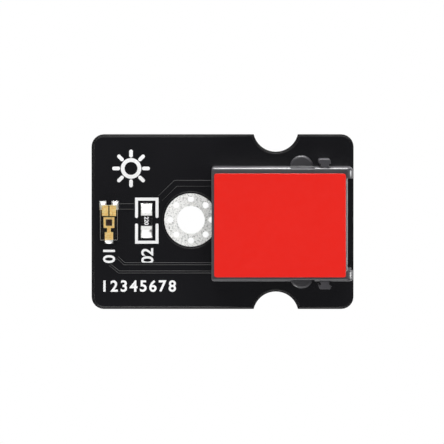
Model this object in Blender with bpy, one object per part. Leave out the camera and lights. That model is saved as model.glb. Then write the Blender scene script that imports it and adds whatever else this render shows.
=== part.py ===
# Light sensor module: a black circuit board that carries a clear light sensor, a chip
# resistor, a plated mounting hole and a six-way modular jack with a coloured top label.
# Metres, +Z up. The board's centre is at X = Y = 0, and the pin tips stand at Z = 0.
# The jack's mouth faces +X, and the sensor sits at the -X end.

import math

import bmesh
import bpy

MM = 0.001

# Fits between pieces
FIT_GAP = 0.02 * MM  # faces that are soldered, glued or bonded
SLIDE_GAP = 0.05 * MM  # mouldings and pegs that slide together

# Circuit board
BOARD_LENGTH = 30.0 * MM
BOARD_WIDTH = 20.0 * MM
BOARD_THICKNESS = 1.6 * MM
BOARD_CORNER_RADIUS = 1.4 * MM
NOTCH_RADIUS = 2.6 * MM
NOTCH_OUTSIDE = 0.6 * MM  # from the long edge out to the notch's centre
NOTCH_X = 6.1 * MM
PIN_PROTRUSION = 1.7 * MM  # pin tails and pegs below the board

# Copper and solder
COPPER_THICKNESS = 0.05 * MM  # copper with its tin
SOLDER_FILM = 0.05 * MM  # solder between a land and a terminal

# Mounting hole and its stitching vias
MOUNT_HOLE_DIAMETER = 3.2 * MM
MOUNT_HOLE_X = -3.63 * MM
MOUNT_HOLE_Y = 0.2 * MM
MOUNT_PAD_WIDTH = 1.45 * MM  # ring of copper round the hole
VIA_COUNT = 8
VIA_DIAMETER = 0.75 * MM
VIA_RIM_MARGIN = 0.3 * MM  # from a via's rim to the ring's outer edge

# Jack housing, outside
JACK_REAR_X = -1.24 * MM
JACK_LENGTH = 15.96 * MM
JACK_SIDE_WALL = 1.5 * MM  # each side of the plug cavity
JACK_FLOOR = 0.6 * MM  # under the latch pocket
JACK_TOP_WALL = 1.2 * MM
JACK_EDGE_FILLET = 0.32 * MM
REAR_EDGE_RADIUS = 0.28 * MM
NOSE_RADIUS = 0.75 * MM  # round front ends of the side walls
MOUTH_SETBACK = 0.6 * MM  # top and front walls behind the side walls' front ends
TOP_WALL_EDGE = 0.22 * MM  # rounding of the top wall's front edge
NOSE_WIDTH = 1.2 * MM  # side walls where they stand ahead of the mouth

# Jack housing, plug cavity
CAVITY_WIDTH = 9.8 * MM
CAVITY_HEIGHT = 6.75 * MM
MOUTH_CHAMFER = 0.4 * MM
LATCH_POCKET_DEPTH = 2.25 * MM  # inner pocket below the cavity floor
LATCH_POCKET_WIDTH = 6.4 * MM
LATCH_WALL = 1.4 * MM  # front wall that the plug's latch catches behind
LATCH_STEP_DEPTH = 1.1 * MM  # wide shallow step in the front wall
LATCH_STEP_WIDTH = 6.1 * MM
LATCH_SLOT_DEPTH = 2.1 * MM  # narrow slot in the front wall
LATCH_SLOT_WIDTH = 4.0 * MM
FRONT_CEILING_LENGTH = 3.2 * MM  # thick top wall ahead of the contacts
CARRIER_LEDGE = 0.3 * MM  # ledge each side that the contact carrier slides on

# Jack pegs, bosses and panel ribs
PEG_FROM_FRONT = 5.68 * MM
PEG_INSET = 0.17 * MM  # from the side wall's face in to the peg's centre
PEG_DIAMETER = 2.2 * MM
PEG_TIP_DIAMETER = 1.6 * MM
PEG_BARB = 0.12 * MM  # how far the barb stands out from the peg
PEG_BARB_DROP = 0.3 * MM  # from the board down to the barb's widest ring
PEG_SLIT_WIDTH = 0.5 * MM
BOSS_DIAMETER = 2.75 * MM
BOSS_HEIGHT = 1.5 * MM
BOSS_CHAMFER = 0.22 * MM
RELIEF_DEPTH = 0.15 * MM  # shallow flat in the wall above each boss
RIB_FROM_FRONT = 3.16 * MM
RIB_NECK_WIDTH = 0.9 * MM
RIB_NECK_DEPTH = 0.45 * MM
RIB_HEAD_WIDTH = 1.3 * MM
RIB_HEAD_THICKNESS = 0.47 * MM
RIB_HEAD_CHAMFER = 0.12 * MM
RIB_BELOW_TOP = 0.3 * MM
RIB_ABOVE_BASE = 1.0 * MM

# Contacts and their carrier
CONTACT_COUNT = 6
WIRE_DIAMETER = 0.46 * MM
WIRE_GAP = 0.04 * MM  # between a wire and the carrier
CONTACT_PITCH = 1.02 * MM  # in the comb
TAIL_PITCH = 1.27 * MM  # at the board
TAIL_ROW_FROM_REAR = 1.84 * MM
TAIL_ROW_SPACING = 2.54 * MM
TAIL_BEND_RADIUS = 0.6 * MM
SPRING_TURN = math.radians(156)  # how far a wire wraps round the carrier's nose
SPRING_LENGTH = 3.9 * MM  # sloping run after the nose
SPRING_TIP_LENGTH = 0.8 * MM  # flatter free end
SPRING_TIP_SLOPE = math.radians(8)
CARRIER_ARM_THICKNESS = 0.8 * MM
CARRIER_FRONT_WALL = 0.85 * MM  # ahead of the second tail row
CARRIER_BACK_WALL = 1.2 * MM  # raised wall that closes the jack's rear
COMB_LENGTH = 4.5 * MM
GROOVE_SINK = 0.03 * MM  # comb grooves below the arm's top
PIN_HOLE_DIAMETER = 0.8 * MM
PIN_PAD_DIAMETER = 1.35 * MM
JOINT_HEIGHT = 1.0 * MM  # solder cone under the board
JOINT_SLOPE = ((0.18, 1.0), (0.4, 0.5), (0.72, 0.2), (1.0, 0.06))  # parts of the pad's rim and the height

# Label on the jack
LABEL_MARGIN = 0.55 * MM  # bare strip each side of the label
LABEL_THICKNESS = 0.12 * MM
LABEL_CORNER_RADIUS = 0.25 * MM
LABEL_FROM_REAR = 0.3 * MM
LABEL_Y = -0.1 * MM

# Light sensor, long side along Y
SENSOR_X = -13.0 * MM
SENSOR_Y = -0.08 * MM
SENSOR_LENGTH = 4.0 * MM
SENSOR_WIDTH = 2.0 * MM
SENSOR_HEIGHT = 1.05 * MM
PACKAGE_EDGE = 0.06 * MM  # rounding of the package's top edges
LEAD_THICKNESS = 0.15 * MM
EMITTER_WIDTH = 0.75 * MM
EMITTER_LENGTH = 1.25 * MM
EMITTER_SLIT = 0.13 * MM
DIE_PAD_SIZE = 1.25 * MM
COLLECTOR_NECK_WIDTH = 0.44 * MM
COLLECTOR_TERMINAL_WIDTH = 0.96 * MM
COLLECTOR_TERMINAL_LENGTH = 0.9 * MM
DIE_SIZE = 0.72 * MM
DIE_HEIGHT = 0.25 * MM
BOND_WIRE_DIAMETER = 0.04 * MM
BOND_WIRE_RISE = 0.12 * MM
BOND_WIRE_LANDING = 0.7  # part of the emitter lead's length, from the package's end
SENSOR_LAND_WIDTH = 0.84 * MM
SENSOR_LAND_REACH = 0.45 * MM  # land and solder beyond the package's end
SENSOR_LAND_UNDER = 0.55 * MM  # land below the terminal
SENSOR_LAND_SPACING = 1.4 * MM
SENSOR_SOLDER_HEIGHT = 0.3 * MM
FILLET_SLOPE = ((1.0, 0.1), (0.75, 0.24), (0.45, 0.46), (0.2, 0.74), (0.0, 1.0))  # parts of run and height

# Chip resistor, long side along Y
RESISTOR_X = -8.7 * MM
RESISTOR_Y = 0.13 * MM
RESISTOR_LENGTH = 2.0 * MM
RESISTOR_WIDTH = 1.25 * MM
RESISTOR_HEIGHT = 0.55 * MM
RESISTOR_COAT = 0.05 * MM
TERMINAL_BAND = 0.4 * MM
TERMINAL_THICKNESS = 0.04 * MM
RESISTOR_LAND_WIDTH = 1.32 * MM
RESISTOR_LAND_REACH = 1.0 * MM
RESISTOR_LAND_UNDER = 0.45 * MM
RESISTOR_SOLDER_HEIGHT = 0.42 * MM

# Facets of round shapes
CORNER_SEGMENTS = 6
NOTCH_SEGMENTS = 18
MOUNT_SEGMENTS = 40
VIA_SEGMENTS = 12
PIN_SEGMENTS = 12
PEG_SEGMENTS = 24
NOSE_SEGMENTS = 6
EDGE_SEGMENTS = 3
TAIL_BEND_SEGMENTS = 4
SPRING_BEND_SEGMENTS = 7
BOND_WIRE_STEPS = 8

# Levels worked out from the sizes above
BOARD_BOTTOM = PIN_PROTRUSION
BOARD_TOP = BOARD_BOTTOM + BOARD_THICKNESS
LAND_TOP = BOARD_TOP + FIT_GAP + COPPER_THICKNESS
PAD_UNDERSIDE = BOARD_BOTTOM - FIT_GAP - COPPER_THICKNESS
PART_BASE = LAND_TOP + FIT_GAP + SOLDER_FILM + FIT_GAP
JACK_BASE = LAND_TOP + FIT_GAP
CAVITY_FLOOR = JACK_BASE + JACK_FLOOR + LATCH_POCKET_DEPTH
CAVITY_TOP = CAVITY_FLOOR + CAVITY_HEIGHT
ARM_BOTTOM = CAVITY_TOP
ARM_TOP = ARM_BOTTOM + CARRIER_ARM_THICKNESS
WIRE_RADIUS = WIRE_DIAMETER / 2
WIRE_ROOM = WIRE_RADIUS + WIRE_GAP
WIRE_LEVEL = ARM_TOP + WIRE_ROOM
POCKET_TOP = WIRE_LEVEL + WIRE_ROOM
JACK_TOP = POCKET_TOP + JACK_TOP_WALL

# Widths and lengths worked out from the sizes above
JACK_WIDTH = CAVITY_WIDTH + 2 * JACK_SIDE_WALL
PEG_SPACING = JACK_WIDTH - 2 * PEG_INSET
LABEL_WIDTH = JACK_WIDTH - 2 * LABEL_MARGIN
LABEL_LENGTH = JACK_LENGTH - LABEL_FROM_REAR - TOP_WALL_EDGE - MOUTH_SETBACK

# Places along X worked out from the sizes above
JACK_FRONT_X = JACK_REAR_X + JACK_LENGTH
MOUTH_X = JACK_FRONT_X - MOUTH_SETBACK
PEG_X = JACK_FRONT_X - PEG_FROM_FRONT
RIB_X = JACK_FRONT_X - RIB_FROM_FRONT
ROW_X = (JACK_REAR_X + TAIL_ROW_FROM_REAR,
         JACK_REAR_X + TAIL_ROW_FROM_REAR + TAIL_ROW_SPACING)
BLOCK_FRONT_X = ROW_X[1] + WIRE_ROOM + CARRIER_FRONT_WALL
NOSE_BEND_RADIUS = CARRIER_ARM_THICKNESS / 2 + WIRE_ROOM
POCKET_FRONT_X = JACK_FRONT_X - FRONT_CEILING_LENGTH
NOSE_X = POCKET_FRONT_X - WIRE_ROOM - NOSE_BEND_RADIUS
COMB_REAR_X = NOSE_X - COMB_LENGTH

MOUNT_HOLE_RADIUS = MOUNT_HOLE_DIAMETER / 2
MOUNT_PAD_RADIUS = MOUNT_HOLE_RADIUS + MOUNT_PAD_WIDTH
VIA_RADIUS = VIA_DIAMETER / 2
VIA_CIRCLE_RADIUS = MOUNT_PAD_RADIUS - VIA_RIM_MARGIN - VIA_RADIUS
CARRIER_HALF_WIDTH = CAVITY_WIDTH / 2 + CARRIER_LEDGE - SLIDE_GAP
BEYOND = 1.0 * MM  # how far a cutter runs past what it cuts
CUTTER_OVERLAP = 0.3 * MM  # how far one cutter runs into the next


# Materials

def material(name, colour, roughness, metallic=0.0, alpha=1.0):
    shader_material = bpy.data.materials.new(name)
    shader_material.use_nodes = True
    shader = shader_material.node_tree.nodes["Principled BSDF"]
    shader.inputs["Base Color"].default_value = (*colour, 1.0)
    shader.inputs["Roughness"].default_value = roughness
    shader.inputs["Metallic"].default_value = metallic
    shader.inputs["Alpha"].default_value = alpha
    shader_material.diffuse_color = (*colour, alpha)
    return shader_material


# Mesh helpers

def add_object(name, mesh, shader_material):
    item = bpy.data.objects.new(name, mesh)
    if shader_material:
        mesh.materials.append(shader_material)
    bpy.context.scene.collection.objects.link(item)
    return item


def finish_mesh(name, bm, smooth_angle=35.0):
    bmesh.ops.recalc_face_normals(bm, faces=bm.faces)
    mesh = bpy.data.meshes.new(name)
    bm.to_mesh(mesh)
    bm.free()
    mesh.shade_smooth()
    mesh.set_sharp_from_angle(angle=math.radians(smooth_angle))
    return mesh


def extruded(points, start, end, axis="Z"):
    """A closed outline carried along an axis; its points are the other two coordinates."""
    order = {"X": (2, 0, 1), "Y": (0, 2, 1), "Z": (0, 1, 2)}[axis]

    def place(a, b, c):
        return tuple((a, b, c)[i] for i in order)

    bm = bmesh.new()
    ring = [bm.verts.new(place(a, b, start)) for a, b in points]
    face = bm.faces.new(ring)
    grown = bmesh.ops.extrude_face_region(bm, geom=[face])["geom"]
    shift = place(0.0, 0.0, end - start)
    bmesh.ops.translate(bm, verts=[v for v in grown if isinstance(v, bmesh.types.BMVert)], vec=shift)
    return bm


def turned(profile, segments, centre=(0.0, 0.0), closed=True):
    """A profile of (radius, height) points spun round a vertical axis."""
    bm = bmesh.new()
    ring = [bm.verts.new((radius, 0.0, height)) for radius, height in profile]
    count = len(ring)
    edges = [bm.edges.new((ring[i], ring[(i + 1) % count])) for i in range(count if closed else count - 1)]
    bmesh.ops.spin(bm, geom=ring + edges, cent=(0, 0, 0), axis=(0, 0, 1), angle=math.tau,
                   steps=segments, use_duplicate=False)
    bmesh.ops.remove_doubles(bm, verts=bm.verts, dist=0.0001 * MM)
    bmesh.ops.translate(bm, verts=bm.verts, vec=(centre[0], centre[1], 0.0))
    return bm


def box_mesh(low, high):
    corners = [(low[0], low[1]), (high[0], low[1]), (high[0], high[1]), (low[0], high[1])]
    return extruded(corners, low[2], high[2])


def gather(name, pieces):
    """Several separate closed shapes in one mesh, for a cutter."""
    whole = bmesh.new()
    for piece in pieces:
        mesh = finish_mesh(name, piece)
        whole.from_mesh(mesh)
        bpy.data.meshes.remove(mesh)
    return finish_mesh(name, whole)


def arc(centre, radius, start_degrees, end_degrees, segments):
    points = []
    for step in range(segments + 1):
        angle = math.radians(start_degrees + (end_degrees - start_degrees) * step / segments)
        points.append((centre[0] + radius * math.cos(angle), centre[1] + radius * math.sin(angle)))
    return points


def rounded_rectangle(centre, length, width, radius, segments):
    points = []
    for quarter, (side_x, side_y) in enumerate(((1, 1), (-1, 1), (-1, -1), (1, -1))):
        corner = (centre[0] + side_x * (length / 2 - radius), centre[1] + side_y * (width / 2 - radius))
        points += arc(corner, radius, 90 * quarter, 90 * quarter + 90, segments)
    return points


def use_boolean(target, name, operation, mesh):
    """Cuts a guide shape from the target, or joins it on."""
    guide = add_object(name, mesh, None)
    guide.hide_render = True
    guide.display_type = "WIRE"
    modifier = target.modifiers.new(name, "BOOLEAN")
    modifier.operation = operation
    modifier.solver = "EXACT"
    modifier.object = guide


def wire_object(name, points, diameter, shader_material):
    """A round wire along a list of points, with flat ends."""
    curve = bpy.data.curves.new(name, "CURVE")
    curve.dimensions = "3D"
    curve.bevel_depth = diameter / 2
    curve.bevel_resolution = 2
    curve.use_fill_caps = True
    spline = curve.splines.new("POLY")
    spline.points.add(len(points) - 1)
    for point, place in zip(spline.points, points):
        point.co = (*place, 1.0)
    return add_object(name, curve, shader_material)


# Places shared by several pieces

def via_places():
    places = []
    for step in range(VIA_COUNT):
        angle = math.tau * step / VIA_COUNT
        places.append((MOUNT_HOLE_X + VIA_CIRCLE_RADIUS * math.cos(angle),
                       MOUNT_HOLE_Y + VIA_CIRCLE_RADIUS * math.sin(angle)))
    return places


def contact_row(index):
    return ROW_X[index % 2]


def contact_offset(index, pitch):
    return (index - (CONTACT_COUNT - 1) / 2) * pitch


def pin_places():
    return [(contact_row(i), contact_offset(i, TAIL_PITCH)) for i in range(CONTACT_COUNT)]


def peg_places():
    return [(PEG_X, side * PEG_SPACING / 2) for side in (-1, 1)]


# Circuit board

def board_outline():
    half_length = BOARD_LENGTH / 2
    half_width = BOARD_WIDTH / 2
    corner_x = half_length - BOARD_CORNER_RADIUS
    corner_y = half_width - BOARD_CORNER_RADIUS
    reach = math.degrees(math.asin(NOTCH_OUTSIDE / NOTCH_RADIUS))
    notch_y = half_width + NOTCH_OUTSIDE
    points = arc((corner_x, -corner_y), BOARD_CORNER_RADIUS, -90, 0, CORNER_SEGMENTS)
    points += arc((corner_x, corner_y), BOARD_CORNER_RADIUS, 0, 90, CORNER_SEGMENTS)
    points += arc((NOTCH_X, notch_y), NOTCH_RADIUS, -reach, -180 + reach, NOTCH_SEGMENTS)
    points += arc((-corner_x, corner_y), BOARD_CORNER_RADIUS, 90, 180, CORNER_SEGMENTS)
    points += arc((-corner_x, -corner_y), BOARD_CORNER_RADIUS, 180, 270, CORNER_SEGMENTS)
    points += arc((NOTCH_X, -notch_y), NOTCH_RADIUS, 180 - reach, reach, NOTCH_SEGMENTS)
    return points


def round_cutter(place, radius, segments, bottom, top):
    """A drill or a post, turned by half a facet so that no corner meets a corner beside it."""
    facet = 360 / segments
    return extruded(arc(place, radius, facet / 2, 360 - facet / 2, segments - 1), bottom, top)


def make_board(shader_material):
    mesh = finish_mesh("circuit_board", extruded(board_outline(), BOARD_BOTTOM, BOARD_TOP))
    board = add_object("circuit_board", mesh, shader_material)
    wall = COPPER_THICKNESS + FIT_GAP
    holes = [((MOUNT_HOLE_X, MOUNT_HOLE_Y), MOUNT_HOLE_RADIUS + wall, MOUNT_SEGMENTS)]
    holes += [(place, VIA_RADIUS + wall, VIA_SEGMENTS) for place in via_places()]
    holes += [(place, PIN_HOLE_DIAMETER / 2 + wall, PIN_SEGMENTS) for place in pin_places()]
    holes += [(place, PEG_DIAMETER / 2 + SLIDE_GAP, PEG_SEGMENTS) for place in peg_places()]
    drills = [round_cutter(place, radius, segments, BOARD_BOTTOM - BEYOND, BOARD_TOP + BEYOND)
              for place, radius, segments in holes]
    use_boolean(board, "board_drills", "DIFFERENCE", gather("board_drills", drills))


# Copper through the board

def spool_profile(bore_radius, pad_radius):
    """Barrel through the board with a flat pad on each face."""
    outer = bore_radius + COPPER_THICKNESS
    return [(bore_radius, PAD_UNDERSIDE), (pad_radius, PAD_UNDERSIDE), (pad_radius, BOARD_BOTTOM - FIT_GAP),
            (outer, BOARD_BOTTOM - FIT_GAP), (outer, BOARD_TOP + FIT_GAP), (pad_radius, BOARD_TOP + FIT_GAP),
            (pad_radius, LAND_TOP), (bore_radius, LAND_TOP)]


def ring_loop(bm, place, radius, segments, height):
    points = arc(place, radius, 0, 360 - 360 / segments, segments - 1)
    ring = [bm.verts.new((x, y, height)) for x, y in points]
    for i, vert in enumerate(ring):
        bm.edges.new((vert, ring[(i + 1) % segments]))
    return ring


def ring_wall(bm, lower, upper):
    for i, vert in enumerate(lower):
        j = (i + 1) % len(lower)
        bm.faces.new((vert, lower[j], upper[j], upper[i]))


def ring_fill(bm, rings):
    """A flat face inside the first ring, open inside the others."""
    edges = [bm.edges.get((ring[i], ring[(i + 1) % len(ring)])) for ring in rings for i in range(len(ring))]
    bmesh.ops.triangle_fill(bm, use_beauty=True, use_dissolve=False, edges=edges)


def make_mount_plating(shader_material):
    """Pads on both faces, joined by the hole's barrel and by one small barrel in each via."""
    mount = (MOUNT_HOLE_X, MOUNT_HOLE_Y)
    bores = [(mount, MOUNT_HOLE_RADIUS, MOUNT_SEGMENTS)]
    bores += [(place, VIA_RADIUS, VIA_SEGMENTS) for place in via_places()]
    bm = bmesh.new()
    faces = (PAD_UNDERSIDE, BOARD_BOTTOM - FIT_GAP, BOARD_TOP + FIT_GAP, LAND_TOP)
    rims = [ring_loop(bm, mount, MOUNT_PAD_RADIUS, MOUNT_SEGMENTS, height) for height in faces]
    inner = [[ring_loop(bm, place, radius, segments, height) for place, radius, segments in bores]
             for height in (faces[0], faces[3])]
    outer = [[ring_loop(bm, place, radius + COPPER_THICKNESS, segments, height)
              for place, radius, segments in bores] for height in (faces[1], faces[2])]
    ring_wall(bm, rims[0], rims[1])
    ring_wall(bm, rims[2], rims[3])
    for lower, upper in zip(inner[0] + outer[0], inner[1] + outer[1]):
        ring_wall(bm, lower, upper)
    for rim, rings in zip(rims, (inner[0], outer[0], outer[1], inner[1])):
        ring_fill(bm, [rim] + rings)
    add_object("mounting_hole_plating", finish_mesh("mounting_hole_plating", bm), shader_material)


def make_pin_platings(shader_material):
    profile = spool_profile(PIN_HOLE_DIAMETER / 2, PIN_PAD_DIAMETER / 2)
    for number, place in enumerate(pin_places(), 1):
        name = f"pin_hole_plating_{number}"
        add_object(name, finish_mesh(name, turned(profile, PIN_SEGMENTS, place)), shader_material)


def make_pin_joints(shader_material):
    """Solder that fills each plated hole round its tail and cones out below the board."""
    bore = WIRE_RADIUS + FIT_GAP
    barrel = PIN_HOLE_DIAMETER / 2 - FIT_GAP
    foot = PIN_PAD_DIAMETER / 2 - FIT_GAP
    face = PAD_UNDERSIDE - FIT_GAP
    rim = foot - bore
    profile = [(bore, LAND_TOP), (bore, face - JOINT_HEIGHT)]
    profile += [(bore + rim * across, face - JOINT_HEIGHT * down) for across, down in JOINT_SLOPE]
    profile += [(foot, face), (barrel, face), (barrel, LAND_TOP)]
    for number, place in enumerate(pin_places(), 1):
        name = f"jack_solder_joint_{number}"
        add_object(name, finish_mesh(name, turned(profile, PIN_SEGMENTS, place)), shader_material)


# Jack housing

def housing_body():
    """Side profile carried across the width, with its long edges filleted."""
    half_width = JACK_WIDTH / 2
    outline = [(JACK_REAR_X, JACK_BASE), (JACK_FRONT_X, JACK_BASE)]
    outline += arc((JACK_FRONT_X - NOSE_RADIUS, JACK_TOP - NOSE_RADIUS), NOSE_RADIUS, 0, 90, NOSE_SEGMENTS)
    outline += arc((JACK_REAR_X + REAR_EDGE_RADIUS, JACK_TOP - REAR_EDGE_RADIUS), REAR_EDGE_RADIUS,
                   90, 180, EDGE_SEGMENTS)
    bm = extruded(outline, -half_width, half_width, "Y")
    base_limit = JACK_BASE + 0.5 * JACK_EDGE_FILLET
    edges = []
    for edge in bm.edges:
        first, second = edge.verts
        on_side = abs(abs(first.co.y) - half_width) < 0.01 * MM and abs(first.co.y - second.co.y) < 0.01 * MM
        if on_side and max(first.co.z, second.co.z) > base_limit:
            edges.append(edge)
    bmesh.ops.bevel(bm, geom=edges, offset=JACK_EDGE_FILLET, offset_type="OFFSET", segments=EDGE_SEGMENTS,
                    profile=0.5, affect="EDGES", clamp_overlap=True)
    return bm


def peg_body(place):
    """Low boss beside the wall, and the peg below it that snaps through the board."""
    boss = BOSS_DIAMETER / 2
    peg = PEG_DIAMETER / 2
    boss_top = JACK_BASE + BOSS_HEIGHT
    profile = [(0.0, boss_top), (boss - BOSS_CHAMFER, boss_top),
               (boss - 0.3 * BOSS_CHAMFER, boss_top - 0.3 * BOSS_CHAMFER), (boss, boss_top - BOSS_CHAMFER),
               (boss, JACK_BASE), (peg, JACK_BASE), (peg, BOARD_BOTTOM - SLIDE_GAP),
               (peg + PEG_BARB, BOARD_BOTTOM - PEG_BARB_DROP), (PEG_TIP_DIAMETER / 2, 0.0), (0.0, 0.0)]
    return turned(profile, PEG_SEGMENTS, place, closed=False)


def rib_outline(side):
    """T section: a neck out of the wall and a wider head."""
    wall = JACK_WIDTH / 2
    root = wall - 0.5 * NOSE_WIDTH
    shoulder = wall + RIB_NECK_DEPTH
    face = shoulder + RIB_HEAD_THICKNESS
    neck = RIB_NECK_WIDTH / 2
    head = RIB_HEAD_WIDTH / 2
    half = [(neck, root), (neck, shoulder), (head, shoulder), (head, face - RIB_HEAD_CHAMFER),
            (head - RIB_HEAD_CHAMFER, face)]
    points = [(RIB_X + x, side * y) for x, y in half]
    return points + [(RIB_X - x, side * y) for x, y in reversed(half)]


def latch_profile():
    """The mouth seen from the front: plug opening, wide shallow step and narrow slot below it."""
    half = CAVITY_WIDTH / 2
    step = LATCH_STEP_WIDTH / 2
    slot = LATCH_SLOT_WIDTH / 2
    step_floor = CAVITY_FLOOR - LATCH_STEP_DEPTH
    slot_floor = CAVITY_FLOOR - LATCH_SLOT_DEPTH
    right = [(slot, slot_floor), (slot, step_floor), (step, step_floor), (step, CAVITY_FLOOR),
             (half, CAVITY_FLOOR), (half, CAVITY_TOP)]
    return right + [(-y, z) for y, z in reversed(right)]


def setback_outline():
    """Side profile of what is cut off between the side walls' ends; the top wall keeps a round edge."""
    low = JACK_BASE - BEYOND
    high = JACK_TOP + BEYOND
    ahead = JACK_FRONT_X + BEYOND
    edge_x = MOUTH_X - TOP_WALL_EDGE
    edge = arc((edge_x, JACK_TOP - TOP_WALL_EDGE), TOP_WALL_EDGE, 0, 90, EDGE_SEGMENTS)
    return [(MOUTH_X, low)] + edge + [(edge_x, high), (ahead, high), (ahead, low)]


def mouth_funnel():
    """Lead-in that widens towards the front face."""
    bm = bmesh.new()
    rings = []
    for x, grow in ((MOUTH_X - 1.5 * MOUTH_CHAMFER, -0.5 * MOUTH_CHAMFER),
                    (JACK_FRONT_X + 0.5 * MOUTH_CHAMFER, MOUTH_SETBACK + 1.5 * MOUTH_CHAMFER)):
        side = CAVITY_WIDTH / 2 + grow
        low = CAVITY_FLOOR - grow
        high = CAVITY_TOP + grow
        corners = ((-side, low), (side, low), (side, high), (-side, high))
        rings.append([bm.verts.new((x, y, z)) for y, z in corners])
    bm.faces.new(rings[0])
    bm.faces.new(rings[1])
    for i in range(4):
        j = (i + 1) % 4
        bm.faces.new((rings[0][i], rings[0][j], rings[1][j], rings[1][i]))
    return bm


def carrier_pocket():
    """Room for the contact carrier: a block open at the rear and below, and an arm under the top wall."""
    rear = JACK_REAR_X - BEYOND
    front = BLOCK_FRONT_X + SLIDE_GAP
    ledge = ARM_BOTTOM - SLIDE_GAP
    outline = [(rear, JACK_BASE - BEYOND), (front, JACK_BASE - BEYOND), (front, ledge),
               (POCKET_FRONT_X, ledge), (POCKET_FRONT_X, POCKET_TOP), (rear, POCKET_TOP)]
    half = CAVITY_WIDTH / 2 + CARRIER_LEDGE
    return extruded(outline, -half, half, "Y")


def make_housing(shader_material):
    housing = add_object("jack_housing", finish_mesh("jack_housing", housing_body(), 50), shader_material)
    half_width = JACK_WIDTH / 2

    pegs = gather("housing_pegs", [peg_body(place) for place in peg_places()])
    use_boolean(housing, "housing_pegs", "UNION", pegs)
    ribs = [extruded(rib_outline(side), JACK_BASE + RIB_ABOVE_BASE, JACK_TOP - RIB_BELOW_TOP)
            for side in (-1, 1)]
    use_boolean(housing, "housing_ribs", "UNION", gather("housing_ribs", ribs))

    nose = half_width - NOSE_WIDTH
    setback = finish_mesh("mouth_setback", extruded(setback_outline(), -nose, nose, "Y"))
    use_boolean(housing, "mouth_setback", "DIFFERENCE", setback)

    inside = BLOCK_FRONT_X - CUTTER_OVERLAP
    use_boolean(housing, "plug_cavity", "DIFFERENCE",
                finish_mesh("plug_cavity", extruded(latch_profile(), inside, JACK_FRONT_X + BEYOND, "X")))
    pocket = LATCH_POCKET_WIDTH / 2
    latch = box_mesh((inside, -pocket, JACK_BASE + JACK_FLOOR),
                     (JACK_FRONT_X - LATCH_WALL, pocket, CAVITY_FLOOR + BEYOND))
    use_boolean(housing, "latch_pocket", "DIFFERENCE", finish_mesh("latch_pocket", latch))
    use_boolean(housing, "mouth_funnel", "DIFFERENCE", finish_mesh("mouth_funnel", mouth_funnel()))
    use_boolean(housing, "carrier_pocket", "DIFFERENCE", finish_mesh("carrier_pocket", carrier_pocket()))

    flats = []
    slits = []
    for x, y in peg_places():
        side = math.copysign(1.0, y)
        inner = side * (half_width - RELIEF_DEPTH)
        outer = side * (half_width + BEYOND)
        flat_base = JACK_BASE + BOSS_HEIGHT + RELIEF_DEPTH
        flats.append(box_mesh((x - BOSS_DIAMETER / 2, min(inner, outer), flat_base),
                              (x + BOSS_DIAMETER / 2, max(inner, outer), JACK_TOP + BEYOND)))
        slits.append(box_mesh((x - BOSS_DIAMETER, y - PEG_SLIT_WIDTH / 2, -BEYOND),
                              (x + BOSS_DIAMETER, y + PEG_SLIT_WIDTH / 2, BOARD_TOP)))
    use_boolean(housing, "wall_flats", "DIFFERENCE", gather("wall_flats", flats))
    use_boolean(housing, "peg_slits", "DIFFERENCE", gather("peg_slits", slits))


# Contact carrier

def carrier_outline():
    """Side profile: rear block, raised back wall, comb and the round nose the wires wrap."""
    nose = arc((NOSE_X, (ARM_BOTTOM + ARM_TOP) / 2), CARRIER_ARM_THICKNESS / 2, -90, 90, NOSE_SEGMENTS)
    comb_top = POCKET_TOP - SLIDE_GAP
    back_wall_x = JACK_REAR_X + CARRIER_BACK_WALL
    return ([(JACK_REAR_X, JACK_BASE), (BLOCK_FRONT_X, JACK_BASE), (BLOCK_FRONT_X, ARM_BOTTOM)] + nose
            + [(NOSE_X, comb_top), (COMB_REAR_X, comb_top), (COMB_REAR_X, ARM_TOP),
               (back_wall_x, ARM_TOP), (back_wall_x, comb_top), (JACK_REAR_X, comb_top)])


def tail_slot(index):
    """Slot open to the rear for one wire's tail, chamfered where the wire bends forward."""
    row = contact_row(index)
    y = contact_offset(index, TAIL_PITCH)
    front = row + WIRE_ROOM
    bend = row + TAIL_BEND_RADIUS
    rear = JACK_REAR_X - BEYOND
    outline = [(rear, JACK_BASE - BEYOND), (front, JACK_BASE - BEYOND),
               (front, WIRE_LEVEL - TAIL_BEND_RADIUS), (bend, WIRE_LEVEL - WIRE_ROOM - GROOVE_SINK),
               (bend, POCKET_TOP + BEYOND), (rear, POCKET_TOP + BEYOND)]
    return extruded(outline, y - WIRE_ROOM, y + WIRE_ROOM, "Y")


def make_carrier(shader_material):
    bm = extruded(carrier_outline(), -CARRIER_HALF_WIDTH, CARRIER_HALF_WIDTH, "Y")
    carrier = add_object("jack_contact_carrier", finish_mesh("jack_contact_carrier", bm), shader_material)
    slots = [tail_slot(i) for i in range(CONTACT_COUNT)]
    use_boolean(carrier, "tail_slots", "DIFFERENCE", gather("tail_slots", slots))
    grooves = []
    for index in range(CONTACT_COUNT):
        y = contact_offset(index, CONTACT_PITCH)
        grooves.append(box_mesh((COMB_REAR_X - GROOVE_SINK, y - WIRE_ROOM, ARM_TOP - GROOVE_SINK),
                                (NOSE_X + BEYOND, y + WIRE_ROOM, POCKET_TOP + BEYOND)))
    use_boolean(carrier, "comb_grooves", "DIFFERENCE", gather("comb_grooves", grooves))


# Contacts

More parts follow.
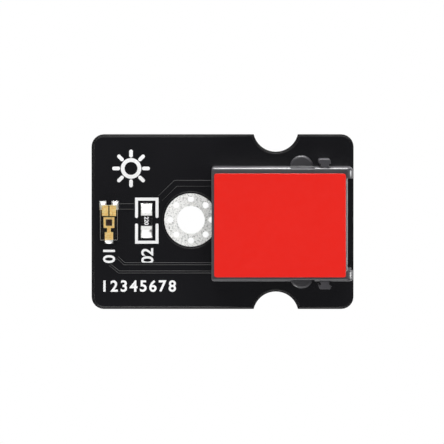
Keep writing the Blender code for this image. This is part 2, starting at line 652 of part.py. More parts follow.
def contact_path(index):
    """One wire from its tail tip, up, forward over the comb, round the nose and back down."""
    row = contact_row(index)
    tail_y = contact_offset(index, TAIL_PITCH)
    comb_y = contact_offset(index, CONTACT_PITCH)
    bend_centre = (row + TAIL_BEND_RADIUS, WIRE_LEVEL - TAIL_BEND_RADIUS)
    path = [(row, tail_y, 0.0)]
    bend = arc(bend_centre, TAIL_BEND_RADIUS, 180, 90, TAIL_BEND_SEGMENTS)
    path += [(x, tail_y, z) for x, z in bend]
    path.append((COMB_REAR_X - WIRE_DIAMETER, comb_y, WIRE_LEVEL))
    nose_centre = (NOSE_X, WIRE_LEVEL - NOSE_BEND_RADIUS)
    turn = arc(nose_centre, NOSE_BEND_RADIUS, 90, 90 - math.degrees(SPRING_TURN), SPRING_BEND_SEGMENTS)
    path += [(x, comb_y, z) for x, z in turn]
    x, z = turn[-1]
    slope = math.pi - SPRING_TURN
    x -= SPRING_LENGTH * math.cos(slope)
    z -= SPRING_LENGTH * math.sin(slope)
    path.append((x, comb_y, z))
    path.append((x - SPRING_TIP_LENGTH * math.cos(SPRING_TIP_SLOPE), comb_y,
                 z - SPRING_TIP_LENGTH * math.sin(SPRING_TIP_SLOPE)))
    return path


def make_contacts(shader_material):
    for index in range(CONTACT_COUNT):
        wire_object(f"jack_contact_{index + 1}", contact_path(index), WIRE_DIAMETER, shader_material)


# Label

def make_label(shader_material):
    centre = (JACK_REAR_X + LABEL_FROM_REAR + LABEL_LENGTH / 2, LABEL_Y)
    outline = rounded_rectangle(centre, LABEL_LENGTH, LABEL_WIDTH, LABEL_CORNER_RADIUS, 3)
    bottom = JACK_TOP + FIT_GAP
    mesh = finish_mesh("jack_colour_label", extruded(outline, bottom, bottom + LABEL_THICKNESS))
    add_object("jack_colour_label", mesh, shader_material)


# Lands and solder of the two surface-mounted parts

def make_land(name, x, end_y, side, width, reach, under, shader_material):
    """Flat copper under a terminal; end_y is the terminal's outer end and side points outward."""
    inner = end_y - side * under
    outer = end_y + side * reach
    bm = box_mesh((x - width / 2, min(inner, outer), BOARD_TOP + FIT_GAP),
                  (x + width / 2, max(inner, outer), LAND_TOP))
    add_object(name, finish_mesh(name, bm), shader_material)


def make_fillet(name, x, end_y, side, width, reach, under, height, shader_material):
    """Solder: a thin film under the terminal and a hollow slope outside its end."""
    foot = LAND_TOP + FIT_GAP
    film = foot + SOLDER_FILM
    face = FIT_GAP
    run = reach - face
    outline = [(-under, foot), (reach, foot)]
    outline += [(face + run * along, foot + height * up) for along, up in FILLET_SLOPE]
    outline += [(face, film), (-under, film)]
    points = [(end_y + side * out, z) for out, z in outline]
    bm = extruded(points, x - width / 2, x + width / 2, "X")
    add_object(name, finish_mesh(name, bm), shader_material)


# Light sensor

def collector_outline(grow=0.0):
    """Die pad, neck and terminal in one flat lead, grown for the pocket in the package."""
    pad = DIE_PAD_SIZE / 2 + grow
    neck = COLLECTOR_NECK_WIDTH / 2 + grow
    terminal = COLLECTOR_TERMINAL_WIDTH / 2 + grow
    end = -SENSOR_LENGTH / 2 - grow
    shoulder = -SENSOR_LENGTH / 2 + COLLECTOR_TERMINAL_LENGTH + grow
    right = [(terminal, end), (terminal, shoulder), (neck, shoulder), (neck, -pad), (pad, -pad), (pad, pad)]
    return [(SENSOR_X + x, SENSOR_Y + y) for x, y in right + [(-x, y) for x, y in reversed(right)]]


def emitter_outline(side, grow=0.0):
    centre_x = SENSOR_X + side * (EMITTER_SLIT + EMITTER_WIDTH) / 2
    near = SENSOR_Y + SENSOR_LENGTH / 2 - EMITTER_LENGTH - grow
    far = SENSOR_Y + SENSOR_LENGTH / 2 + grow
    half = EMITTER_WIDTH / 2 + grow
    return [(centre_x - half, near), (centre_x + half, near), (centre_x + half, far), (centre_x - half, far)]


def bond_wire_path():
    """From the die's top up in a low arch and down to the right emitter lead."""
    start_z = PART_BASE + LEAD_THICKNESS + FIT_GAP + DIE_HEIGHT + FIT_GAP + BOND_WIRE_DIAMETER / 2
    end_z = PART_BASE + LEAD_THICKNESS + FIT_GAP + BOND_WIRE_DIAMETER / 2
    x = SENSOR_X + (EMITTER_SLIT + EMITTER_WIDTH) / 2
    start = (SENSOR_X + DIE_SIZE / 4, SENSOR_Y + DIE_SIZE / 4)
    end = (x, SENSOR_Y + SENSOR_LENGTH / 2 - BOND_WIRE_LANDING * EMITTER_LENGTH)
    path = []
    for step in range(BOND_WIRE_STEPS + 1):
        along = step / BOND_WIRE_STEPS
        rise = BOND_WIRE_RISE * math.sin(math.pi * along)
        path.append((start[0] + (end[0] - start[0]) * along, start[1] + (end[1] - start[1]) * along,
                     start_z + (end_z - start_z) * along ** 2 + rise))
    return path


def make_sensor(clear, gold, silicon, copper, solder):
    lead_top = PART_BASE + LEAD_THICKNESS
    add_object("sensor_collector_lead",
               finish_mesh("sensor_collector_lead", extruded(collector_outline(), PART_BASE, lead_top)), gold)
    for side, hand in ((-1, "left"), (1, "right")):
        name = f"sensor_emitter_lead_{hand}"
        add_object(name, finish_mesh(name, extruded(emitter_outline(side), PART_BASE, lead_top)), gold)

    half_die = DIE_SIZE / 2
    die_bottom = lead_top + FIT_GAP
    die = box_mesh((SENSOR_X - half_die, SENSOR_Y - half_die, die_bottom),
                   (SENSOR_X + half_die, SENSOR_Y + half_die, die_bottom + DIE_HEIGHT))
    add_object("sensor_die", finish_mesh("sensor_die", die), silicon)
    path = bond_wire_path()
    wire_object("sensor_bond_wire", path, BOND_WIRE_DIAMETER, gold)

    package = box_mesh((SENSOR_X - SENSOR_WIDTH / 2, SENSOR_Y - SENSOR_LENGTH / 2, PART_BASE),
                       (SENSOR_X + SENSOR_WIDTH / 2, SENSOR_Y + SENSOR_LENGTH / 2, PART_BASE + SENSOR_HEIGHT))
    middle = PART_BASE + SENSOR_HEIGHT / 2
    upper = [edge for edge in package.edges if max(v.co.z for v in edge.verts) > middle]
    bmesh.ops.bevel(package, geom=upper, offset=PACKAGE_EDGE, segments=2, profile=0.5, affect="EDGES")
    body = add_object("sensor_package", finish_mesh("sensor_package", package), clear)
    below = PART_BASE - BEYOND
    leads = [extruded(collector_outline(FIT_GAP), below, lead_top + FIT_GAP)]
    leads += [extruded(emitter_outline(side, FIT_GAP), below, lead_top + FIT_GAP) for side in (-1, 1)]
    use_boolean(body, "lead_pockets", "DIFFERENCE", gather("lead_pockets", leads))
    room = half_die + FIT_GAP
    die_room = box_mesh((SENSOR_X - room, SENSOR_Y - room, PART_BASE + 0.5 * LEAD_THICKNESS),
                        (SENSOR_X + room, SENSOR_Y + room, die_bottom + DIE_HEIGHT + FIT_GAP))
    use_boolean(body, "die_pocket", "DIFFERENCE", finish_mesh("die_pocket", die_room))
    margin = 2 * BOND_WIRE_DIAMETER  # clears the wire, and both boxes start inside the lead pockets
    wire_top = max(z for x, y, z in path) + margin
    wire_room = box_mesh((path[0][0] - margin, path[0][1] - margin, PART_BASE + 0.6 * LEAD_THICKNESS),
                         (path[-1][0] + margin, path[-1][1] + margin, wire_top))
    use_boolean(body, "bond_wire_pocket", "DIFFERENCE", finish_mesh("bond_wire_pocket", wire_room))

    upper_end = SENSOR_Y + SENSOR_LENGTH / 2
    lower_end = SENSOR_Y - SENSOR_LENGTH / 2
    terminals = (("left", SENSOR_X - SENSOR_LAND_SPACING / 2, upper_end, 1, SENSOR_LAND_WIDTH),
                 ("right", SENSOR_X + SENSOR_LAND_SPACING / 2, upper_end, 1, SENSOR_LAND_WIDTH),
                 ("lower", SENSOR_X, lower_end, -1, COLLECTOR_TERMINAL_WIDTH))
    for place, x, end_y, side, width in terminals:
        make_land(f"sensor_land_{place}", x, end_y, side, width, SENSOR_LAND_REACH, SENSOR_LAND_UNDER, copper)
        make_fillet(f"sensor_solder_{place}", x, end_y, side, width, SENSOR_LAND_REACH, SENSOR_LAND_UNDER,
                    SENSOR_SOLDER_HEIGHT, solder)


# Chip resistor

def terminal_outline(side):
    """Wrap-round cap: top band, end face and bottom band of one thin metal strip."""
    low = PART_BASE
    high = PART_BASE + RESISTOR_HEIGHT
    end = RESISTOR_LENGTH / 2
    inner_end = end - TERMINAL_THICKNESS
    band = end - TERMINAL_BAND
    outline = [(band, low), (end, low), (end, high), (band, high), (band, high - TERMINAL_THICKNESS),
               (inner_end, high - TERMINAL_THICKNESS), (inner_end, low + TERMINAL_THICKNESS),
               (band, low + TERMINAL_THICKNESS)]
    return [(RESISTOR_Y + side * y, z) for y, z in outline]


def make_resistor(ceramic, overcoat, tin, copper, solder):
    half_width = RESISTOR_WIDTH / 2
    skin = TERMINAL_THICKNESS + FIT_GAP
    body_top = PART_BASE + RESISTOR_HEIGHT - skin
    half_body = RESISTOR_LENGTH / 2 - skin
    body = box_mesh((RESISTOR_X - half_width, RESISTOR_Y - half_body, PART_BASE + skin),
                    (RESISTOR_X + half_width, RESISTOR_Y + half_body, body_top))
    add_object("resistor_ceramic", finish_mesh("resistor_ceramic", body), ceramic)
    half_coat = RESISTOR_LENGTH / 2 - TERMINAL_BAND - FIT_GAP
    coat = box_mesh((RESISTOR_X - half_width, RESISTOR_Y - half_coat, body_top + FIT_GAP),
                    (RESISTOR_X + half_width, RESISTOR_Y + half_coat, body_top + FIT_GAP + RESISTOR_COAT))
    add_object("resistor_overcoat", finish_mesh("resistor_overcoat", coat), overcoat)
    for side, place in ((1, "upper"), (-1, "lower")):
        name = f"resistor_terminal_{place}"
        cap = extruded(terminal_outline(side), RESISTOR_X - half_width, RESISTOR_X + half_width, "X")
        add_object(name, finish_mesh(name, cap), tin)
        end_y = RESISTOR_Y + side * RESISTOR_LENGTH / 2
        make_land(f"resistor_land_{place}", RESISTOR_X, end_y, side, RESISTOR_LAND_WIDTH,
                  RESISTOR_LAND_REACH, RESISTOR_LAND_UNDER, copper)
        make_fillet(f"resistor_solder_{place}", RESISTOR_X, end_y, side, RESISTOR_LAND_WIDTH,
                    RESISTOR_LAND_REACH, RESISTOR_LAND_UNDER, RESISTOR_SOLDER_HEIGHT, solder)


def build():
    for item in list(bpy.data.objects):
        bpy.data.objects.remove(item, do_unlink=True)
    black_mask = material("black_mask", (0.009, 0.009, 0.011), 0.35)
    black_plastic = material("black_moulding", (0.012, 0.012, 0.013), 0.25)
    carrier_plastic = material("carrier_moulding", (0.015, 0.015, 0.016), 0.4)
    tin = material("tinned_copper", (0.72, 0.72, 0.70), 0.3, 1.0)
    gold = material("gold_plating", (0.83, 0.60, 0.20), 0.25, 1.0)
    solder = material("solder", (0.78, 0.78, 0.78), 0.2, 1.0)
    red_film = material("red_film", (0.80, 0.03, 0.016), 0.4)
    clear = material("clear_epoxy", (0.95, 0.93, 0.88), 0.05, 0.0, 0.35)
    silicon = material("silicon_die", (0.03, 0.02, 0.02), 0.2, 0.3)
    ceramic = material("alumina", (0.80, 0.79, 0.76), 0.6)
    overcoat = material("resistor_overcoat", (0.012, 0.012, 0.012), 0.3)

    make_board(black_mask)
    make_mount_plating(tin)
    make_pin_platings(tin)
    make_pin_joints(solder)
    make_housing(black_plastic)
    make_carrier(carrier_plastic)
    make_contacts(gold)
    make_label(red_film)
    make_sensor(clear, gold, silicon, tin, solder)
    make_resistor(ceramic, overcoat, tin, tin, solder)


build()
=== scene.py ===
import math

import bmesh
import bpy
import numpy as np
from mathutils import Matrix, Vector


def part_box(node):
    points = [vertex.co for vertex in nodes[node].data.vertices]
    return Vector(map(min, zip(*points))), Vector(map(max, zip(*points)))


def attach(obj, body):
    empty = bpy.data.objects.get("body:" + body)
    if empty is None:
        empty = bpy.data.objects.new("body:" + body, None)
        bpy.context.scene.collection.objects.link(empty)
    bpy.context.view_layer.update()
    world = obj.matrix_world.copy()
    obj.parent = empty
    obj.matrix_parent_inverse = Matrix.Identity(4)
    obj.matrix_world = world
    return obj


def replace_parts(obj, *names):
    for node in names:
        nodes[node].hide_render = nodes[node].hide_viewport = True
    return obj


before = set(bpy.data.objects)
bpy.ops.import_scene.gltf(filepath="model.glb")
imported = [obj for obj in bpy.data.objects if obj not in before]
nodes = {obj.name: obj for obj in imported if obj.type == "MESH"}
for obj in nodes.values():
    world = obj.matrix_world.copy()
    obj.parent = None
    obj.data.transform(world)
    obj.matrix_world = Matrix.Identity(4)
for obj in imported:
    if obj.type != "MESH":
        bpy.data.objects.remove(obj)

mm = 0.001


def saveBounds():
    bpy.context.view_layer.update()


saveBounds()


# sRGB hex to linear
def colour(text):
    parts = [int(text[i:i + 2], 16) / 255 for i in (1, 3, 5)]
    return tuple(p / 12.92 if p <= 0.04045 else ((p + 0.055) / 1.055) ** 2.4 for p in parts) + (1.0,)


# one material and its node tree; an input is a plain value or the output that feeds it
class Graph:
    def __init__(self, name):
        self.material = bpy.data.materials.new(name)
        self.material.use_nodes = True
        self.tree = self.material.node_tree
        self.shader = self.tree.nodes["Principled BSDF"]

    # gives a node its inputs, and gives back the material
    def feed(self, node, inputs):
        for key, value in inputs.items():
            if isinstance(value, bpy.types.NodeSocket):
                self.tree.links.new(value, node.inputs[key])
            else:
                node.inputs[key].default_value = value
        return self.material

    # adds a node with its settings, feeds it and gives back one of its outputs
    def add(self, kind, inputs=None, out=0, **settings):
        node = self.tree.nodes.new("ShaderNode" + kind)
        for key, value in settings.items():
            setattr(node, key, value)
        self.feed(node, inputs or {})
        return node.outputs[out]

    # 0 on upright faces, 1 on level ones
    def facing(self, low, high):
        normal = self.add("NewGeometry", out="Normal")
        height = self.add("SeparateXYZ", {"Vector": normal}, out="Z")
        level = self.add("Math", {0: height}, operation="ABSOLUTE")
        return self.add("MapRange", {"Value": level, "From Min": low, "From Max": high})


# a Mix node of colours has its factor at 0 and its colours at 6 and 7
colourMix = {"out": 2, "data_type": "RGBA"}


# board: epoxy solder mask flooded over woven glass, satin black; the routed rim shows cut dark laminate
def boardMaterial():
    g = Graph("boardMask")
    place = g.add("TexCoord", out="Object")
    upright = g.add("Mapping", {"Vector": place, "Scale": (1, 1, 5)})
    level = g.facing(0.80, 0.97)
    peel = g.add("TexNoise", {"Vector": place, "Scale": 1 / (0.30 * mm), "Detail": 3.0})
    cloud = g.add("TexNoise", {"Vector": place, "Scale": 1 / (5 * mm)})
    fibres = g.add("TexNoise", {"Vector": upright, "Scale": 1 / (0.10 * mm), "Detail": 4.0,
                                "Roughness": 0.7})
    maskTone = g.add("Mix", {0: cloud, 6: colour("#0c0c10"), 7: colour("#121216")}, **colourMix)
    rimTone = g.add("Mix", {0: fibres, 6: colour("#171613"), 7: colour("#302c25")}, **colourMix)
    tone = g.add("Mix", {0: level, 6: rimTone, 7: maskTone}, **colourMix)
    height = g.add("Mix", {0: level, 6: fibres, 7: peel}, **colourMix)
    rough = g.add("MapRange", {"Value": level, "To Min": 0.62, "To Max": 0.22})
    bump = g.add("Bump", {"Height": height, "Distance": 0.003 * mm})
    return g.feed(g.shader, {"Base Color": tone, "Roughness": rough, "IOR": 1.5, "Normal": bump})


# hot-air levelled tin over copper: bright metal with a fine frosted grain and shallow waves
def tinMaterial(name, rough, depth, grainSize, dark):
    g = Graph(name)
    place = g.add("TexCoord", out="Object")
    grain = g.add("TexNoise", {"Vector": place, "Scale": 1 / grainSize, "Detail": 5.0, "Roughness": 0.75})
    wave = g.add("TexNoise", {"Vector": place, "Scale": 1 / (0.9 * mm), "Detail": 1.0})
    frost = g.add("MapRange", {"Value": grain, "From Min": 0.38, "From Max": 0.50})
    tone = g.add("Mix", {0: frost, 6: colour(dark), 7: colour("#fdfdfb")}, **colourMix)
    gloss = g.add("MapRange", {"Value": grain, "From Min": 0.3, "From Max": 0.7,
                               "To Min": rough - 0.08, "To Max": rough + 0.10})
    height = g.add("Math", {0: wave, 1: 1.2, 2: grain}, operation="MULTIPLY_ADD")
    bump = g.add("Bump", {"Height": height, "Distance": depth})
    return g.feed(g.shader, {"Base Color": tone, "Metallic": 1.0, "Roughness": gloss, "Normal": bump})


# reflowed tin, silver and copper alloy: bright, with faint shrink lines
def solderMaterial():
    g = Graph("solderAlloy")
    place = g.add("TexCoord", out="Object")
    shrink = g.add("TexNoise", {"Vector": place, "Scale": 1 / (0.20 * mm), "Detail": 3.0, "Roughness": 0.6})
    tone = g.add("Mix", {0: shrink, 6: colour("#ececea"), 7: colour("#fdfdfc")}, **colourMix)
    gloss = g.add("MapRange", {"Value": shrink, "From Min": 0.3, "From Max": 0.7,
                               "To Min": 0.36, "To Max": 0.58})
    bump = g.add("Bump", {"Height": shrink, "Distance": 0.035 * mm})
    return g.feed(g.shader, {"Base Color": tone, "Metallic": 1.0, "Roughness": gloss, "Normal": bump})


# gold flash over nickel, with the rolling grain of the strip or the wire below it
def goldMaterial(name, dark, light, rough, depth):
    g = Graph(name)
    place = g.add("TexCoord", out="Object")
    rolled = g.add("Mapping", {"Vector": place, "Scale": (0.3, 1, 1)})
    grain = g.add("TexNoise", {"Vector": rolled, "Scale": 1 / (0.07 * mm), "Detail": 3.0, "Roughness": 0.6})
    streak = g.add("MapRange", {"Value": grain, "From Min": 0.35, "From Max": 0.65})
    tone = g.add("Mix", {0: streak, 6: colour(dark), 7: colour(light)}, **colourMix)
    gloss = g.add("MapRange", {"Value": grain, "From Min": 0.3, "From Max": 0.7,
                               "To Min": rough - 0.06, "To Max": rough + 0.08})
    bump = g.add("Bump", {"Height": grain, "Distance": depth})
    return g.feed(g.shader, {"Base Color": tone, "Metallic": 1.0, "Roughness": gloss, "Normal": bump})


# injection-moulded black polyester with the skin of a spark-eroded steel mould
def mouldedMaterial(name, dark, light, rough, depth):
    g = Graph(name)
    place = g.add("TexCoord", out="Object")
    skin = g.add("TexNoise", {"Vector": place, "Scale": 1 / (0.05 * mm), "Detail": 3.0, "Roughness": 0.6})
    cloud = g.add("TexNoise", {"Vector": place, "Scale": 1 / (2.5 * mm)})
    tone = g.add("Mix", {0: cloud, 6: colour(dark), 7: colour(light)}, **colourMix)
    gloss = g.add("MapRange", {"Value": cloud, "From Min": 0.3, "From Max": 0.7,
                               "To Min": rough - 0.03, "To Max": rough + 0.04})
    bump = g.add("Bump", {"Height": skin, "Distance": depth})
    return g.feed(g.shader, {"Base Color": tone, "IOR": 1.58, "Roughness": gloss, "Normal": bump})


# red polyester film, printed on the back and cut by a die: even, with a faint orange peel
def filmMaterial():
    g = Graph("redFilm")
    place = g.add("TexCoord", out="Object")
    peel = g.add("TexNoise", {"Vector": place, "Scale": 1 / (0.5 * mm)})
    cloud = g.add("TexNoise", {"Vector": place, "Scale": 1 / (6 * mm), "Detail": 1.0})
    tone = g.add("Mix", {0: cloud, 6: colour("#e21608"), 7: colour("#e5190a")}, **colourMix)
    gloss = g.add("MapRange", {"Value": peel, "From Min": 0.3, "From Max": 0.7,
                               "To Min": 0.28, "To Max": 0.32})
    bump = g.add("Bump", {"Height": peel, "Distance": 0.0003 * mm})
    return g.feed(g.shader, {"Base Color": tone, "IOR": 1.5, "Roughness": gloss, "Normal": bump})


# clear transfer-moulded epoxy: polished, with a faint haze, and frosted where the mould's edges are worn
def epoxyMaterial():
    g = Graph("clearEpoxy")
    place = g.add("TexCoord", out="Object")
    haze = g.add("TexNoise", {"Vector": place, "Scale": 1 / (0.2 * mm)})
    edge = g.add("Math", {0: g.facing(0.15, 0.40), 1: g.facing(0.85, 0.98)}, operation="SUBTRACT")
    polish = g.add("MapRange", {"Value": haze, "From Min": 0.3, "From Max": 0.7,
                                "To Min": 0.02, "To Max": 0.05})
    rough = g.add("Math", {0: edge, 1: 0.3, 2: polish}, operation="MULTIPLY_ADD")
    clear = g.add("MapRange", {"Value": edge, "To Min": 1.0, "To Max": 0.75})
    bump = g.add("Bump", {"Height": haze, "Distance": 0.0006 * mm})
    return g.feed(g.shader, {"Base Color": colour("#fdfcf8"), "IOR": 1.54, "Transmission Weight": clear,
                             "Roughness": rough, "Normal": bump})


# silicon die: dark light-sensing field inside a bright aluminium rim
def siliconMaterial():
    g = Graph("siliconDie")
    place = g.add("TexCoord", out="Object")
    low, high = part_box("sensor_die")
    inner = 0.82 * (high[0] - low[0]) / 2  # from the die's middle to the rim
    reach = []
    for axis in (0, 1):
        along = g.add("SeparateXYZ", {"Vector": place}, out=axis)
        off = g.add("Math", {0: along, 1: (low[axis] + high[axis]) / 2}, operation="SUBTRACT")
        reach.append(g.add("Math", {0: off}, operation="ABSOLUTE"))
    far = g.add("Math", {0: reach[0], 1: reach[1]}, operation="MAXIMUM")
    rim = g.add("Math", {0: far, 1: inner}, operation="GREATER_THAN")
    cells = g.add("TexVoronoi", {"Vector": place, "Scale": 8 / mm})
    cell = g.add("MapRange", {"Value": cells, "From Min": 0.2, "From Max": 0.7})
    field = g.add("Mix", {0: cell, 6: colour("#170f0f"), 7: colour("#4b3128")}, **colourMix)
    tone = g.add("Mix", {0: rim, 6: field, 7: colour("#8a786a")}, **colourMix)
    metal = g.add("MapRange", {"Value": rim, "To Min": 0.2, "To Max": 0.8})
    return g.feed(g.shader, {"Base Color": tone, "Roughness": 0.25, "Metallic": metal})


# fired alumina: white, matt and fine grained
def ceramicMaterial():
    g = Graph("alumina")
    place = g.add("TexCoord", out="Object")
    grain = g.add("TexNoise", {"Vector": place, "Scale": 1 / (0.03 * mm), "Detail": 3.0})
    tone = g.add("Mix", {0: grain, 6: colour("#e3e0da"), 7: colour("#f2f0ec")}, **colourMix)
    bump = g.add("Bump", {"Height": grain, "Distance": 0.003 * mm})
    return g.feed(g.shader, {"Base Color": tone, "Roughness": 0.62, "Normal": bump})


# screen-printed black glass over the resistor's film: glossy, with a soft orange peel
def glazeMaterial():
    g = Graph("resistorGlaze")
    place = g.add("TexCoord", out="Object")
    peel = g.add("TexNoise", {"Vector": place, "Scale": 1 / (0.15 * mm)})
    gloss = g.add("MapRange", {"Value": peel, "From Min": 0.3, "From Max": 0.7,
                               "To Min": 0.2, "To Max": 0.32})
    bump = g.add("Bump", {"Height": peel, "Distance": 0.004 * mm})
    return g.feed(g.shader, {"Base Color": colour("#131315"), "Roughness": gloss, "Normal": bump})


# white epoxy ink pulled through a mesh: thin, satin and a little pitted
def inkMaterial():
    g = Graph("whiteInk")
    place = g.add("TexCoord", out="Object")
    pits = g.add("TexNoise", {"Vector": place, "Scale": 1 / (0.08 * mm), "Detail": 3.0, "Roughness": 0.6})
    full = g.add("MapRange", {"Value": pits, "From Min": 0.3, "From Max": 0.5})
    tone = g.add("Mix", {0: full, 6: colour("#f2f3f5"), 7: colour("#ffffff")}, **colourMix)
    bump = g.add("Bump", {"Height": pits, "Distance": 0.003 * mm})
    return g.feed(g.shader, {"Base Color": tone, "Roughness": 0.5, "Normal": bump})


mask = boardMaterial()
ringTin = tinMaterial("ringTin", rough=0.58, depth=0.070 * mm, grainSize=0.20 * mm, dark="#b8b8b7")
padTin = tinMaterial("padTin", rough=0.52, depth=0.016 * mm, grainSize=0.13 * mm, dark="#dededc")
landTin = tinMaterial("landTin", rough=0.24, depth=0.004 * mm, grainSize=0.13 * mm, dark="#c8c8c6")
solder = solderMaterial()
leadGold = goldMaterial("leadGold", dark="#f8c262", light="#fff0b2", rough=0.40, depth=0.040 * mm)
wireGold = goldMaterial("wireGold", dark="#d3a040", light="#f3d384", rough=0.22, depth=0.001 * mm)
housingBlack = mouldedMaterial("housingBlack", dark="#323135", light="#3c3b3f", rough=0.32,
                               depth=0.0015 * mm)
carrierBlack = mouldedMaterial("carrierBlack", dark="#161617", light="#202021", rough=0.50,
                               depth=0.003 * mm)
redFilm = filmMaterial()
epoxy = epoxyMaterial()
silicon = siliconMaterial()
alumina = ceramicMaterial()
glaze = glazeMaterial()
ink = inkMaterial()
print("materials")


# puts a finished mesh on the board's body, smooth but for edges sharper than smoothAngle
def addMesh(name, data, material, smoothAngle=40):
    data.name = name
    data.shade_smooth()
    data.set_sharp_from_angle(angle=math.radians(smoothAngle))
    data.materials.clear()
    data.materials.append(material)
    item = bpy.data.objects.new(name, data)
    bpy.context.scene.collection.objects.link(item)
    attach(item, "root")
    return item


# several (points, faces) pairs as one mesh, with its faces turned outwards
def closedMesh(shapes):
    points, faces, start = [], [], 0
    for shapePoints, shapeFaces in shapes:
        points.append(shapePoints)
        faces += [[i + start for i in face] for face in shapeFaces]
        start += len(shapePoints)
    data = bpy.data.meshes.new("shape")
    data.from_pydata(np.concatenate(points).tolist(), [], faces)
    bm = bmesh.new()
    bm.from_mesh(data)
    bmesh.ops.recalc_face_normals(bm, faces=bm.faces)
    bm.to_mesh(data)
    bm.free()
    return data


# quads between neighbouring rows and columns of a grid of points
def gridFaces(rows, columns, loopRows=False, loopColumns=False):
    i, j = np.meshgrid(np.arange(rows if loopRows else rows - 1),
                       np.arange(columns if loopColumns else columns - 1), indexing="ij")
    nextRow, nextColumn = (i + 1) % rows, (j + 1) % columns
    quads = np.stack([i * columns + j, i * columns + nextColumn,
                      nextRow * columns + nextColumn, nextRow * columns + j], -1)
    return quads.reshape(-1, 4).tolist()


# closed outline between two heights
def prism(outline, low, high):
    count = len(outline)
    points = np.concatenate([np.column_stack([outline, np.full(count, z)]) for z in (low, high)])
    faces = gridFaces(2, count, loopColumns=True)
    return points, faces + [list(range(count - 1, -1, -1)), list(range(count, 2 * count))]


# angles in degrees
edgeFinish = {"bevelAngle": 50, "segments": 2, "weight": 100, "merge": 0.0005 * mm, "flatAngle": 0.5}


# small bevel on the hard edges, then normals weighted by area, so flats stay flat beside rounds
def breakEdges(item, width=0.0, segments=edgeFinish["segments"]):
    if width:
        bevel = item.modifiers.new("brokenEdge", "BEVEL")
        bevel.width = width
        bevel.segments = segments
        bevel.limit_method = "ANGLE"
        bevel.angle_limit = math.radians(edgeFinish["bevelAngle"])
    shade = item.modifiers.new("flatShade", "WEIGHTED_NORMAL")
    shade.mode = "FACE_AREA"
    shade.weight = edgeFinish["weight"]
    shade.keep_sharp = True


# welded copy of CAD nodes with their flat facets joined and their edges broken by a small bevel
def refined(name, nodeNames, material, edge=0.0, smoothAngle=40):
    bm = bmesh.new()
    for nodeName in nodeNames:
        bm.from_mesh(nodes[nodeName].data)
    bmesh.ops.remove_doubles(bm, verts=bm.verts, dist=edgeFinish["merge"])
    bmesh.ops.dissolve_limit(bm, angle_limit=math.radians(edgeFinish["flatAngle"]), verts=bm.verts,
                             edges=bm.edges)
    data = bpy.data.meshes.new(name)
    bm.to_mesh(data)
    bm.free()
    item = addMesh(name, data, material, smoothAngle)
    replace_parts(item, *nodeNames)
    breakEdges(item, edge)


# node names that share a start
def named(start, *ends):
    return [f"{start}_{end}" for end in ends]


pins = range(1, 7)
refined("circuitBoard", ["circuit_board"], mask, edge=0.03 * mm)
refined("mountingRing", ["mounting_hole_plating"], ringTin, edge=0.012 * mm)
refined("pinHoleRings", named("pin_hole_plating", *pins), padTin)
refined("jackHousing", ["jack_housing"], housingBlack, edge=0.03 * mm)
refined("contactCarrier", ["jack_contact_carrier"], carrierBlack, edge=0.02 * mm)
refined("jackContacts", named("jack_contact", *pins), wireGold, smoothAngle=50)
refined("jackLabel", ["jack_colour_label"], redFilm, edge=0.02 * mm)
refined("sensorLeads", ["sensor_collector_lead", *named("sensor_emitter_lead", "left", "right")],
        leadGold, edge=0.015 * mm)
refined("sensorDie", ["sensor_die"], silicon, edge=0.01 * mm)
refined("bondWire", ["sensor_bond_wire"], wireGold, smoothAngle=60)
refined("sensorLands", named("sensor_land", "left", "right", "lower"), landTin,
        edge=0.012 * mm)
refined("resistorBody", ["resistor_ceramic"], alumina, edge=0.015 * mm)
refined("resistorCoat", ["resistor_overcoat"], glaze, edge=0.018 * mm)
refined("resistorCaps", named("resistor_terminal", "upper", "lower"), padTin,
        edge=0.025 * mm)
refined("resistorLands", named("resistor_land", "upper", "lower"), landTin,
        edge=0.012 * mm)
print("CAD pieces refined")

packageEdge = {"width": 0.05 * mm, "segments": 3}


# package moulded round the leads: a closed block with broken edges and a flat top
def makePackage():
    low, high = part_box("sensor_package")
    bm = bmesh.new()
    bmesh.ops.create_cube(bm, size=1.0)
    bmesh.ops.transform(bm, verts=bm.verts, matrix=Matrix.Translation((low + high) / 2)
                        @ Matrix.Diagonal((*(high - low), 1.0)))
    data = bpy.data.meshes.new("sensorPackage")
    bm.to_mesh(data)
    bm.free()
    item = addMesh("sensorPackage", data, epoxy)
    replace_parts(item, "sensor_package")
    breakEdges(item, packageEdge["width"], packageEdge["segments"])


makePackage()

solderShape = {"across": 15, "outward": 15, "crowding": 1.3, "film": 0.05 * mm, "foot": 0.04 * mm,
               "crown": 0.3, "lump": 0.03 * mm, "waves": (5.0, 3.0, 7.0),
               "valley": 0.05 * mm, "valleyWidth": 0.07 * mm}
emitterSolder = {"side": 1, "power": 1.5, "waist": 0.60, "flare": 0.36, "toe": -0.14}
collectorSolder = {"side": -1, "power": 1.5, "waist": 0.96, "flare": -0.14, "toe": 0.35}
upperSolder = {"side": 1, "power": 1.35, "waist": 0.88, "flare": 0.10, "toe": -0.10}
lowerSolder = {"side": -1, "power": 1.35, "waist": 0.90, "flare": 0.10, "toe": 0.12}


